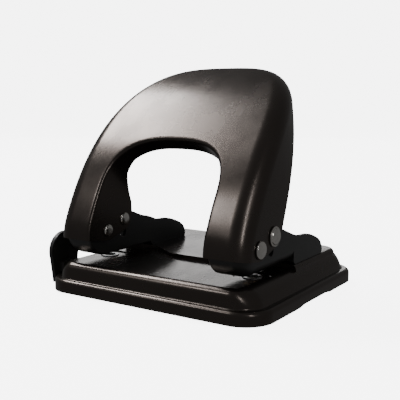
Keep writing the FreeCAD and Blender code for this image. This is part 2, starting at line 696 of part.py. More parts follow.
def chip_tray():
    """The moulded tray that closes the base from below and catches the paper chips."""
    inset = SHEET + TRAY_GAP
    floor_top = TRAY_FLOOR_Z + TRAY_FLOOR_THICK
    floor = rounded_block(BAND_HALF_WIDTH - inset, BAND_FRONT + inset, BAND_BACK - inset,
                          BAND_CORNER - inset, TRAY_FLOOR_Z, floor_top)
    inset = SHEET + 2 * TRAY_GAP
    wall = rounded_block(TOP_HALF_WIDTH - inset, TOP_FRONT + inset, TOP_BACK - inset,
                         TOP_CORNER - inset, TRAY_FLOOR_Z, TRAY_WALL_TOP)
    inset += TRAY_WALL
    inside = rounded_block(TOP_HALF_WIDTH - inset, TOP_FRONT + inset, TOP_BACK - inset,
                           TOP_CORNER - inset, floor_top, FAR)
    tray = floor.fuse(wall).cut(inside)
    reach = TOP_HALF_WIDTH - SHEET - 0.1
    for side in (-1, 1):
        for y in (-20.0, 18.0):
            inner = TOP_HALF_WIDTH - SHEET - 2 * TRAY_GAP - TRAY_WALL / 2
            x0 = min(side * inner, side * reach)
            tray = tray.fuse(Part.makeBox(reach - inner, 10, 0.9, V(x0, y - 5, TRAY_WALL_TOP - 0.9)))
    return tray


def non_slip_pad():
    """The rubber pad under the tray."""
    return rounded_block(PAD_HALF_X, -PAD_HALF_Y, PAD_HALF_Y, 6.0, 0.0, TRAY_FLOOR_Z)


def main():
    os.makedirs("parts", exist_ok=True)
    save(base_cover(), "base_cover")
    pairs = {"die_ring": die_ring(PUNCH_X), "bracket": bracket(), "bracket_rivets": bracket_rivets(),
             "guide_bush": guide_bush(), "punch": punch(), "punch_spring": punch_spring(),
             "pivot_pin": pivot_pin(), "drive_pin": drive_pin()}
    for name, shape in pairs.items():
        save(shape, name + "_right")
        save(mirrored(shape), name + "_left")
    save(handle(), "handle")
    save(paper_guide_tab(), "paper_guide_tab")
    save(paper_guide_bar(), "paper_guide_bar")
    save(guide_rail(), "guide_rail")
    save(guide_detent_spring(), "guide_detent_spring")
    save(chip_tray(), "chip_tray")
    save(non_slip_pad(), "non_slip_pad")


main()
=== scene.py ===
"""Looks for a two-hole desk punch: pressed handle and base, brackets, sprung punches, guide and tray."""

import json
import logging
import math
from dataclasses import dataclass
from enum import Enum
from typing import Callable, Iterable, List, Sequence, Tuple

import bpy
import bmesh
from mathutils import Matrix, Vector

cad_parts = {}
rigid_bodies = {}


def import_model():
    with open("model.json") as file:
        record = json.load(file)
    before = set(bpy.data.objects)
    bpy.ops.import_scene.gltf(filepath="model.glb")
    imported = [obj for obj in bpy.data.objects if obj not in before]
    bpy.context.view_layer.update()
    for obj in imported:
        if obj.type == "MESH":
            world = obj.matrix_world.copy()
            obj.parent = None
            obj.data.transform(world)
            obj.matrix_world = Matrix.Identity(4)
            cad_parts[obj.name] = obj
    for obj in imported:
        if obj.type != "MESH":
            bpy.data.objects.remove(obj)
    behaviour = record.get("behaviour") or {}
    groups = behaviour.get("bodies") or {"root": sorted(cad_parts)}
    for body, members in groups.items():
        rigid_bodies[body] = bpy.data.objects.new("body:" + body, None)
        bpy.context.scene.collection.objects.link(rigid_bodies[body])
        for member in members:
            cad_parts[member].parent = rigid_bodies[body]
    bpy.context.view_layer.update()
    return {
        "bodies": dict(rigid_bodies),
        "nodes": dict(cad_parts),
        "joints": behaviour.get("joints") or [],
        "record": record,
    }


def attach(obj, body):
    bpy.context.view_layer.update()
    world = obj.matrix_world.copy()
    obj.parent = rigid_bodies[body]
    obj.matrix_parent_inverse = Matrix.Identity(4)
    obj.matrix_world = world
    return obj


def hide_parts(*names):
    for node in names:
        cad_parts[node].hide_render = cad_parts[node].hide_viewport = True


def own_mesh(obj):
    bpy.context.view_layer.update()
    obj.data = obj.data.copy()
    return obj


LOG = logging.getLogger("hole_punch")
MM = 0.001
Point = Tuple[float, float, float]
Colour = Tuple[float, float, float]


class Side(Enum):
    """Which of the two mirrored units a piece belongs to."""

    LEFT = -1
    RIGHT = 1

    @property
    def word(self) -> str:
        """The side's name in lower case."""
        return self.name.lower()


# ---------------------------------------------------------------- modelling helpers

def millimetres(x: float, y: float, z: float) -> Vector:
    """A point given in millimetres, in metres."""
    return Vector((x * MM, y * MM, z * MM))


def deselect_all() -> None:
    """Clears the selection, so that an operator acts only on what is made next."""
    if bpy.context.object and bpy.context.object.mode != "OBJECT":
        bpy.ops.object.mode_set(mode="OBJECT")
    bpy.ops.object.select_all(action="DESELECT")


def activate(piece: bpy.types.Object) -> None:
    """Selects one piece alone and makes it active.

    Args:
        piece: The object that the next operators act on.
    """
    deselect_all()
    piece.select_set(True)
    bpy.context.view_layer.objects.active = piece


def named(piece: bpy.types.Object, name: str) -> bpy.types.Object:
    """Gives a piece and its mesh their name.

    Args:
        piece: The object to name.
        name: The new name.

    Returns:
        The same object.
    """
    piece.name = name
    piece.data.name = name
    return piece


def settle(piece: bpy.types.Object) -> bpy.types.Object:
    """Puts a piece's place, turn and scale into its mesh.

    Args:
        piece: The object to settle.

    Returns:
        The same object, at the origin, unturned and unscaled.
    """
    activate(piece)
    bpy.ops.object.transform_apply(location=True, rotation=True, scale=True)
    return piece


def shape(piece: bpy.types.Object, mode: str, keep: Callable[[object], bool],
          work: Callable[[], object]) -> None:
    """Runs one edit-mode operator on the vertices, edges or faces that a test picks.

    Args:
        piece: The object whose mesh is shaped.
        mode: VERT, EDGE or FACE.
        keep: The test that picks elements, given bmesh elements.
        work: The operator to run.
    """
    activate(piece)
    bpy.ops.object.mode_set(mode="EDIT")
    bpy.ops.mesh.select_mode(type=mode)
    bpy.ops.mesh.select_all(action="DESELECT")
    mesh = bmesh.from_edit_mesh(piece.data)
    pool = {"VERT": mesh.verts, "EDGE": mesh.edges, "FACE": mesh.faces}[mode]
    for element in pool:
        if keep(element):
            element.select_set(True)
    mesh.select_flush_mode()
    bmesh.update_edit_mesh(piece.data)
    work()
    bpy.ops.object.mode_set(mode="OBJECT")


def level_at(height: float, slack: float = 0.02) -> Callable[[object], bool]:
    """A test for edges or faces that lie level at a height in millimetres.

    Args:
        height: The height to look at.
        slack: How far off a vertex may be.

    Returns:
        The test.
    """
    return lambda element: all(abs(v.co.z / MM - height) < slack for v in element.verts)


def apply_modifiers(piece: bpy.types.Object) -> None:
    """Applies every modifier on a piece, in order.

    Args:
        piece: The object.
    """
    activate(piece)
    for modifier in list(piece.modifiers):
        bpy.ops.object.modifier_apply(modifier=modifier.name)


def smooth(piece: bpy.types.Object, degrees: float = 35.0) -> None:
    """Smooths a piece's shading, keeping edges sharper than an angle, with flat faces kept flat.

    Args:
        piece: The object.
        degrees: The angle above which an edge stays sharp.
    """
    activate(piece)
    bpy.ops.object.shade_smooth_by_angle(angle=math.radians(degrees))
    weighted = piece.modifiers.new("even_normals", "WEIGHTED_NORMAL")
    weighted.keep_sharp = True
    weighted.weight = 80
    apply_modifiers(piece)


def carve(piece: bpy.types.Object, cutter: bpy.types.Object, operation: str = "DIFFERENCE") -> None:
    """Cuts a cutter from a piece, or joins it on, and removes the cutter.

    Args:
        piece: The object that stays.
        cutter: The object that is used up.
        operation: DIFFERENCE or UNION.
    """
    boolean = piece.modifiers.new("carve", "BOOLEAN")
    boolean.operation = operation
    boolean.solver = "EXACT"
    boolean.object = cutter
    apply_modifiers(piece)
    bpy.data.objects.remove(cutter, do_unlink=True)


def cylinder(name: str, radius: float, depth: float, centre: Point, axis: str = "Z",
             sides: int = 48) -> bpy.types.Object:
    """A round bar to start a turned piece from, in millimetres.

    Args:
        name: The new piece's name.
        radius: Its radius.
        depth: Its length.
        centre: Its middle.
        axis: X or Z, the way it points.
        sides: Facets round it.

    Returns:
        The new object, settled.
    """
    deselect_all()
    turn = (0.0, math.pi / 2, 0.0) if axis == "X" else (0.0, 0.0, 0.0)
    bpy.ops.mesh.primitive_cylinder_add(vertices=sides, radius=radius * MM, depth=depth * MM,
                                        location=millimetres(*centre), rotation=turn)
    return settle(named(bpy.context.object, name))


def block(name: str, low: Point, high: Point) -> bpy.types.Object:
    """A box to start a piece from, between two corners in millimetres.

    Args:
        name: The new piece's name.
        low: Its lowest corner.
        high: Its highest corner.

    Returns:
        The new object, settled.
    """
    deselect_all()
    centre = [(a + b) / 2 for a, b in zip(low, high)]
    size = [(b - a) * MM for a, b in zip(low, high)]
    bpy.ops.mesh.primitive_cube_add(size=1.0, location=millimetres(*centre), scale=size)
    return settle(named(bpy.context.object, name))


def turned(name: str, profile: Sequence[Tuple[float, float]], centre: Point, direction: int,
           sides: int = 64) -> bpy.types.Object:
    """A piece turned about an axis along X, such as a rivet head, from a half profile.

    Args:
        name: The new piece's name.
        profile: Pairs of distance along the axis and radius, in millimetres, rim first.
        centre: The point on the axis that distances are counted from.
        direction: 1 or -1, the way along X that distances run.
        sides: Steps round the axis.

    Returns:
        The new object, settled.
    """
    deselect_all()
    bpy.ops.mesh.primitive_plane_add(size=1.0)
    piece = named(bpy.context.object, name)
    bpy.ops.object.mode_set(mode="EDIT")
    mesh = bmesh.from_edit_mesh(piece.data)
    bmesh.ops.delete(mesh, geom=mesh.verts[:], context="VERTS")
    x, y, z = centre
    chain = [mesh.verts.new(millimetres(x + direction * along, y, z + radius)) for along, radius in profile]
    for a, b in zip(chain, chain[1:]):
        mesh.edges.new((a, b)).select_set(True)
    bmesh.update_edit_mesh(piece.data)
    bpy.ops.mesh.select_all(action="SELECT")
    bpy.ops.mesh.spin(steps=sides, angle=2 * math.pi, center=millimetres(*centre), axis=(1.0, 0.0, 0.0))
    bpy.ops.mesh.select_all(action="SELECT")
    bpy.ops.mesh.remove_doubles(threshold=1e-6)
    bpy.ops.mesh.normals_make_consistent(inside=False)
    bpy.ops.object.mode_set(mode="OBJECT")
    return settle(piece)


def dress(piece: bpy.types.Object, material: bpy.types.Material) -> None:
    """Puts one material on a piece.

    Args:
        piece: The object.
        material: Its finish.
    """
    piece.data.materials.clear()
    piece.data.materials.append(material)


def seat(piece: bpy.types.Object, body: str, material: bpy.types.Material,
         stands_for: Iterable[str] = ()) -> bpy.types.Object:
    """Finishes a new piece: its material, the body it moves with and the nodes it stands for.

    Args:
        piece: The object, in place.
        body: The body it rides on.
        material: Its finish.
        stands_for: The frame's nodes that it replaces.

    Returns:
        The same object.
    """
    dress(piece, material)
    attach(piece, body)
    if stands_for:
        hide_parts(*stands_for)
    LOG.info("%s rides on %s, %d faces", piece.name, body, len(piece.data.polygons))
    return piece


# ---------------------------------------------------------------- finishes

class Nodes:
    """A short way to wire a material's nodes."""

    def __init__(self, name: str) -> None:
        """Starts a material with a shader and object coordinates."""
        self.material = bpy.data.materials.new(name)
        self.material.use_nodes = True
        self.tree = self.material.node_tree
        self.shader = self.tree.nodes["Principled BSDF"]
        self.place = self.tree.nodes.new("ShaderNodeTexCoord").outputs["Object"]

    def add(self, kind: str, **values: object) -> bpy.types.Node:
        """Adds one node and sets its properties."""
        node = self.tree.nodes.new(kind)
        for key, value in values.items():
            setattr(node, key, value)
        return node

    def link(self, out: object, into: object) -> None:
        """Joins an output to an input."""
        self.tree.links.new(out, into)

    def noise(self, scale: float, detail: float = 3.0, rough: float = 0.5,
              stretch: Point = (1.0, 1.0, 1.0)) -> object:
        """Fractal noise over the object, scale in cells a metre, with an optional stretch."""
        mapping = self.add("ShaderNodeMapping")
        mapping.inputs["Scale"].default_value = stretch
        self.link(self.place, mapping.inputs["Vector"])
        node = self.add("ShaderNodeTexNoise")
        node.inputs["Scale"].default_value = scale
        node.inputs["Detail"].default_value = detail
        node.inputs["Roughness"].default_value = rough
        self.link(mapping.outputs["Vector"], node.inputs["Vector"])
        return node.outputs["Fac"]

    def span(self, value: object, low: float, high: float, start: float = 0.0, end: float = 1.0) -> object:
        """Maps a value from start..end to low..high."""
        node = self.add("ShaderNodeMapRange")
        node.inputs["From Min"].default_value = start
        node.inputs["From Max"].default_value = end
        node.inputs["To Min"].default_value = low
        node.inputs["To Max"].default_value = high
        self.link(value, node.inputs["Value"])
        return node.outputs["Result"]

    def blend(self, share: object, first: object, second: object) -> object:
        """Mixes two colours, each a colour value or an output."""
        node = self.add("ShaderNodeMix", data_type="RGBA")
        self.link(share, node.inputs["Factor"])
        for value, socket in ((first, node.inputs[6]), (second, node.inputs[7])):
            if isinstance(value, tuple):
                socket.default_value = (*value, 1.0)
            else:
                self.link(value, socket)
        return node.outputs[2]

    def bump(self, height: object, strength: float, distance: float) -> object:
        """A bump normal from a height."""
        node = self.add("ShaderNodeBump")
        node.inputs["Strength"].default_value = strength
        node.inputs["Distance"].default_value = distance
        self.link(height, node.inputs["Height"])
        return node.outputs["Normal"]

    def set(self, **values: object) -> None:
        """Sets shader sockets by name, underscores for spaces."""
        for key, value in values.items():
            self.shader.inputs[key.replace("_", " ")].default_value = value


@dataclass(frozen=True)
class MetallicPaint:
    """A satin metallic enamel, baked on pressed steel."""

    name: str
    colour: Colour
    flake_colour: Colour
    metallic: float
    roughness: float
    coat: float

    def make(self) -> bpy.types.Material:
        """The material: flakes, a very slight orange peel and faint handling marks."""
        n = Nodes(self.name)
        flake = n.noise(2400.0, 1.0, 0.4)
        cloud = n.noise(26.0, 3.0, 0.5)
        smear = n.noise(70.0, 4.0, 0.6, (1.0, 0.35, 1.0))
        sparkle = n.span(flake, 0.0, 1.0, 0.42, 0.66)
        base = n.blend(sparkle, self.colour, self.flake_colour)
        darker = tuple(c * 0.86 for c in self.colour)
        n.link(n.blend(n.span(cloud, 0.0, 0.35, 0.4, 0.75), base, darker), n.shader.inputs["Base Color"])
        gloss = n.span(smear, self.roughness - 0.03, self.roughness + 0.05, 0.3, 0.7)
        n.link(gloss, n.shader.inputs["Roughness"])
        n.link(n.bump(n.noise(260.0, 1.0, 0.5), 0.01, 0.00001), n.shader.inputs["Normal"])
        n.set(Metallic=self.metallic, Coat_Weight=self.coat, Coat_Roughness=0.14, Coat_IOR=1.5)
        return n.material


@dataclass(frozen=True)
class PlainPaint:
    """A semi-gloss black enamel."""

    name: str
    colour: Colour
    roughness: float

    def make(self) -> bpy.types.Material:
        """The material: dark enamel with a fine peel and cloudy gloss."""
        n = Nodes(self.name)
        cloud = n.noise(60.0, 4.0, 0.55)
        lighter = tuple(c * 1.5 for c in self.colour)
        shade = n.blend(n.span(cloud, 0.0, 1.0, 0.35, 0.7), self.colour, lighter)
        n.link(shade, n.shader.inputs["Base Color"])
        gloss = n.span(cloud, self.roughness - 0.05, self.roughness + 0.07, 0.3, 0.7)
        n.link(gloss, n.shader.inputs["Roughness"])
        n.link(n.bump(n.noise(1400.0, 2.0, 0.5), 0.18, 0.0001), n.shader.inputs["Normal"])
        n.set(Metallic=0.0, Specular_IOR_Level=0.5, Coat_Weight=0.25, Coat_Roughness=0.2)
        return n.material


@dataclass(frozen=True)
class Plate:
    """Bright plating or bare metal, turned or rolled."""

    name: str
    colour: Colour
    roughness: float
    grain: Point

    def make(self) -> bpy.types.Material:
        """The material: directional micro-scratches and slight tarnish."""
        n = Nodes(self.name)
        line = n.noise(900.0, 3.0, 0.6, self.grain)
        tarnish = n.noise(220.0, 4.0, 0.6)
        dull = tuple(c * 0.78 for c in self.colour)
        shade = n.blend(n.span(tarnish, 0.0, 1.0, 0.4, 0.75), self.colour, dull)
        n.link(shade, n.shader.inputs["Base Color"])
        gloss = n.span(line, self.roughness - 0.05, self.roughness + 0.08, 0.3, 0.7)
        n.link(gloss, n.shader.inputs["Roughness"])
        n.link(n.bump(line, 0.12, 0.00005), n.shader.inputs["Normal"])
        n.set(Metallic=1.0)
        return n.material


@dataclass(frozen=True)
class Moulded:
    """Moulded plastic or rubber with a fine spark-eroded texture."""

    name: str
    colour: Colour
    roughness: float
    grain: float
    depth: float

    def make(self) -> bpy.types.Material:
        """The material: a pebbled skin with slight shade and gloss changes."""
        n = Nodes(self.name)
        skin = n.noise(self.grain, 3.0, 0.6)
        cloud = n.noise(40.0, 3.0, 0.5)
        lighter = tuple(c * 1.4 + 0.002 for c in self.colour)
        shade = n.blend(n.span(cloud, 0.0, 1.0, 0.35, 0.7), self.colour, lighter)
        n.link(shade, n.shader.inputs["Base Color"])
        gloss = n.span(skin, self.roughness - 0.06, self.roughness + 0.08, 0.3, 0.7)
        n.link(gloss, n.shader.inputs["Roughness"])
        n.link(n.bump(skin, 0.35, self.depth), n.shader.inputs["Normal"])
        n.set(Metallic=0.0, Specular_IOR_Level=0.45)
        return n.material


@dataclass(frozen=True)
class Finishes:
    """Every finish on the punch."""

    bronze: bpy.types.Material
    black: bpy.types.Material
    nickel: bpy.types.Material
    zinc: bpy.types.Material
    tool_steel: bpy.types.Material
    brass: bpy.types.Material
    plastic: bpy.types.Material
    rubber: bpy.types.Material

    @staticmethod
    def mixed() -> "Finishes":
        """Makes them all."""
        return Finishes(
            bronze=MetallicPaint("bronze_enamel", (0.076, 0.063, 0.056), (0.086, 0.072, 0.064),
                                 0.9, 0.25, 0.1).make(),
            black=PlainPaint("black_enamel", (0.010, 0.010, 0.0095), 0.38).make(),
            nickel=Plate("bright_nickel", (0.78, 0.75, 0.71), 0.16, (1.0, 1.0, 1.0)).make(),
            zinc=Plate("zinc_plate", (0.58, 0.58, 0.56), 0.34, (0.15, 1.0, 1.0)).make(),
            tool_steel=Plate("ground_steel", (0.48, 0.48, 0.47), 0.28, (1.0, 1.0, 6.0)).make(),
            brass=Plate("turned_brass", (0.72, 0.52, 0.25), 0.26, (1.0, 1.0, 8.0)).make(),
            plastic=Moulded("black_moulding", (0.012, 0.012, 0.011), 0.46, 2600.0, 0.00009).make(),
            rubber=Moulded("pad_rubber", (0.02, 0.02, 0.02), 0.75, 1500.0, 0.0002).make(),
        )


# ---------------------------------------------------------------- handle

@dataclass(frozen=True)
class Outline:
    """Half of an arch in the flat: straight up the leg, then a superellipse to the centre line."""

    foot_half: float
    half: float
    start: float
    length: float
    power: float

    def at(self, share: float) -> Tuple[float, float, float, float]:
        """A point and its inward normal, share running 0 at the foot to 1 at the top, evenly spaced.

        Args:
            share: How far along the half arch.

        Returns:
            Across, up, and the inward normal's two parts.
        """
        run = self._run()
        total = run[-1][0]
        target = share * (self.start + total)
        if target <= self.start:
            return self.foot_half + (self.half - self.foot_half) * target / self.start, target, -1.0, 0.0
        target -= self.start
        low, high = 0, len(run) - 1
        while high - low > 1:
            middle = (low + high) // 2
            low, high = (middle, high) if run[middle][0] <= target else (low, middle)
        part = (target - run[low][0]) / max(run[high][0] - run[low][0], 1e-9)
        x = run[low][1] + (run[high][1] - run[low][1]) * part
        s = run[low][2] + (run[high][2] - run[low][2]) * part
        rise = self.length - self.start
        across = max(x / self.half, 0.0) ** (self.power - 1) / self.half
        up = max((s - self.start) / rise, 0.0) ** (self.power - 1) / rise
        size = math.hypot(across, up)
        return x, s, -across / size, -up / size

    def _run(self) -> List[Tuple[float, float, float]]:
        """Distance, across and up at fine steps of the superellipse, worked out once."""
        if self not in _RUNS:
            steps = 3000
            table = [(0.0, self.half, self.start)]
            for i in range(1, steps + 1):
                t = math.pi / 2 * (i / steps) ** 1.6
                x = self.half * max(math.cos(t), 0.0) ** (2 / self.power) if i < steps else 0.0
                s = self.start + (self.length - self.start) * math.sin(t) ** (2 / self.power)
                before = table[-1]
                table.append((before[0] + math.hypot(x - before[1], s - before[2]), x, s))
            _RUNS[self] = table
        return _RUNS[self]


_RUNS: dict = {}


@dataclass
class Handle:
    """The arched handle, pressed from one sheet with a flange folded back all round."""

    sheet: float = 1.0
    outer: Outline = Outline(50.4, 50.2, 22.5, 116.3, 3.03)
    window: Outline = Outline(30.55, 30.55, 28.5, 55.2, 2.65)
    foot_arc: float = 12.0
    foot_lean: float = -4.0
    neck_lean: float = 22.3
    neck: Tuple[float, float] = (-48.4, 36.5)
    face_radius: float = 131.8
    outer_fold: float = 7.8
    inner_fold: float = 1.6
    rear: Tuple[float, float, float] = (-16.5, 36.1, 0.41)
    crown_depth: float = 9.0
    leg_share: float = 0.17
    window_flange: Tuple[Tuple[float, float], ...] = (
        (25.0, 27.6), (31.4, 24.2), (36.0, 19.0), (42.0, 12.2), (48.0, 8.8), (55.2, 7.6))
    foot_line: Tuple[Tuple[float, float], ...] = (
        (-52.0, 27.2), (-39.5, 25.3), (-35.4, 25.1), (-22.6, 28.9), (-18.6, 31.0))
    along: int = 150
    across: Tuple[int, int, int, int, int] = (5, 12, 16, 6, 5)

    def face(self, s: float) -> Tuple[float, float, float]:
        """Side view of the face.

        Args:
            s: Distance up the face from its foot.

        Returns:
            Y, Z and lean in radians.
        """
        neck = math.radians(self.neck_lean)
        if s >= self.foot_arc:
            radius = self.face_radius
            lean = neck + (s - self.foot_arc) / radius
        else:
            radius = self.foot_arc / (neck - math.radians(self.foot_lean))
            lean = neck + (s - self.foot_arc) / radius
        y = self.neck[0] + radius * (math.cos(neck) - math.cos(lean))
        z = self.neck[1] + radius * (math.sin(lean) - math.sin(neck))
        return y, z, lean

    def pressed(self, x: float, s: float, depth: float) -> Vector:
        """A point of the pressing: across, up the face and back from it."""
        y, z, lean = self.face(s)
        back = max(lean, math.radians(self.neck_lean))
        return millimetres(x, y + depth * math.cos(back), z - depth * math.sin(back))

    def rear_depth(self, s: float) -> float:
        """How deep the outer flange is at a height, back to its straight edge."""
        y, z, lean = self.face(s)
        back = max(lean, math.radians(self.neck_lean))
        edge_y, edge_z, slope = self.rear
        reach = (edge_y + slope * (z - edge_z) - y) / (math.cos(back) + slope * math.sin(back))
        over = reach - self.crown_depth
        return self.crown_depth + (over + math.hypot(over, 2.0)) / 2

    def window_depth(self, s: float) -> float:
        """How deep the window's flange is at a height."""
        table = self.window_flange
        if s <= table[0][0]:
            return table[0][1]
        for (s0, d0), (s1, d1) in zip(table, table[1:]):
            if s <= s1:
                return d0 + (d1 - d0) * (s - s0) / (s1 - s0)
        return table[-1][1]

    def section(self, share: float) -> List[Vector]:
        """Points across the sheet's front skin at one place along the half arch.

        Args:
            share: 0 at the leg's foot, 1 at the centre of the crown.

        Returns:
            Points from the outer flange's edge to the window flange's edge.
        """
        leg = self.leg_share
        if share < leg:
            outer_share = share / leg * self.outer.start / self._length(self.outer)
            window_share = share / leg * self.window.start / self._length(self.window)
        else:
            part = (share - leg) / (1 - leg)
            outer_start = self.outer.start / self._length(self.outer)
            window_start = self.window.start / self._length(self.window)
            outer_share = outer_start + part * (1 - outer_start)
            window_share = window_start + part * (1 - window_start)
        x, s, nx, ns = self.outer.at(outer_share)
        wx, ws, wnx, wns = self.window.at(window_share)
        wnx, wns = -wnx, -wns
        flange, bend, span, window_bend, window_flange = self.across
        points = []
        deep = self.rear_depth(s)
        for k in range(flange):
            points.append(self.pressed(x, s, deep + (self.outer_fold - deep) * k / flange))
        for k in range(bend):
            turn = math.pi / 2 * k / bend
            offset = self.outer_fold * (1 - math.cos(turn))
            depth = self.outer_fold * (1 - math.sin(turn))
            points.append(self.pressed(x + nx * offset, s + ns * offset, depth))
        start = (x + nx * self.outer_fold, s + ns * self.outer_fold)
        end = (wx + wnx * self.inner_fold, ws + wns * self.inner_fold)
        for k in range(span):
            part = k / span
            points.append(self.pressed(start[0] + (end[0] - start[0]) * part,
                                       start[1] + (end[1] - start[1]) * part, 0.0))
        for k in range(window_bend):
            turn = math.pi / 2 * (1 - k / window_bend)
            offset = self.inner_fold * (1 - math.cos(turn))
            depth = self.inner_fold * (1 - math.sin(turn))
            points.append(self.pressed(wx + wnx * offset, ws + wns * offset, depth))
        deep = self.window_depth(ws)
        for k in range(window_flange + 1):
            depth = self.inner_fold + (deep - self.inner_fold) * k / window_flange
            points.append(self.pressed(wx, ws, depth))
        return points

    def _length(self, outline: Outline) -> float:
        """The whole length of a half outline."""
        return outline.start + outline._run()[-1][0]

    def build(self, finish: bpy.types.Material) -> bpy.types.Object:
        """Models the handle and dresses it.

        Args:
            finish: The enamel.

        Returns:
            The handle.
        """
        deselect_all()
        rows = sum(self.across) + 1
        columns = 2 * self.along + 1
        bpy.ops.mesh.primitive_grid_add(x_subdivisions=columns - 1, y_subdivisions=rows - 1, size=1.0)
        piece = named(bpy.context.object, "handle_pressing")
        sections = {}
        for vertex in piece.data.vertices:
            column = round((vertex.co.x + 0.5) * (columns - 1))
            row = round((vertex.co.y + 0.5) * (rows - 1))
            place = abs(column - self.along)
            if place not in sections:
                sections[place] = self.section(1 - place / self.along)
            point = sections[place][row].copy()
            point.x *= -1 if column < self.along else 1
            vertex.co = point
        for (y0, z0), (y1, z1) in zip(self.foot_line, self.foot_line[1:]):
            normal = Vector((0.0, z1 - z0, y0 - y1)).normalized()
            shape(piece, "FACE", lambda f: True, lambda: bpy.ops.mesh.bisect(
                plane_co=millimetres(0.0, y0, z0), plane_no=normal, clear_outer=True, threshold=1e-7))
        shape(piece, "FACE", lambda f: True, lambda: bpy.ops.mesh.normals_make_consistent(inside=False))
        solid = piece.modifiers.new("sheet", "SOLIDIFY")
        solid.thickness = self.sheet * MM
        solid.offset = -1.0 if self._faces_front(piece) else 1.0
        solid.use_even_offset = True
        bevel = piece.modifiers.new("rolled_edge", "BEVEL")
        bevel.width = 0.22 * MM
        bevel.segments = 3
        bevel.limit_method = "ANGLE"
        bevel.angle_limit = math.radians(50)
        apply_modifiers(piece)
        smooth(piece, 40.0)
        return seat(piece, "handle_lever", finish, ["handle"])

    def _faces_front(self, piece: bpy.types.Object) -> bool:
        """Whether the sheet's faces point forward and up, measured on the crown."""
        best = max(piece.data.polygons, key=lambda p: p.center.z)
        return best.normal.z - best.normal.y > 0


# ---------------------------------------------------------------- base

@dataclass(frozen=True)
class Rim:
    """A stepped wall's rounded rim: where it stands and how it is rounded at the sides and at the ends."""

    half: float
    front: float
    back: float
    corner: float
    top: float
    side_round: float
    end_round: float

    def radius(self, turn: float) -> float:
        """The rounding in one direction.

        Args:
            turn: Degrees from the side, 90 at the front and back.

        Returns:
            The radius, changing smoothly round the corner.
        """
        share = min(max((turn - 25.0) / 65.0, 0.0), 1.0)
        return self.side_round + (self.end_round - self.side_round) * share * share * (3 - 2 * share)

    def drawn_in(self, turn: float, below: float) -> float:
        """How far the rim has drawn in from the wall at a depth below its top."""
        radius = self.radius(turn)
        rise = max(radius - below, 0.0)
        return radius - math.sqrt(radius * radius - rise * rise)

    def ring(self, below: float, shrink: float = 0.0, facets: int = 14) -> List[Tuple[float, float]]:
        """The outline at a depth below the top.

        Args:
            below: The depth.
            shrink: A further inset all round.
            facets: Steps round each corner.

        Returns:
            Points in plan, anticlockwise from the middle of the right side.
        """
        points = []
        side_steps, end_steps = 12, 14
        cx = self.half - self.corner
        for sx, sy in ((1, 1), (-1, 1), (-1, -1), (1, -1)):
            cy = self.back - self.corner if sy > 0 else self.front + self.corner
            arc = []
            for k in range(facets + 1):
                turn = 90.0 * k / facets
                reach = self.corner - self.drawn_in(turn, below) - shrink
                arc.append((sx * (cx + reach * math.cos(math.radians(turn))),
                            cy + sy * reach * math.sin(math.radians(turn))))
            points += arc if sx * sy > 0 else arc[::-1]
        full = []
        for k, (a, b) in enumerate(zip(points, points[1:] + points[:1])):
            full.append(a)
            if (k + 1) % (facets + 1) == 0:
                steps = end_steps if (k + 1) // (facets + 1) % 2 == 1 else side_steps
                full += [(a[0] + (b[0] - a[0]) * m / steps, a[1] + (b[1] - a[1]) * m / steps)
                         for m in range(1, steps)]
        return full


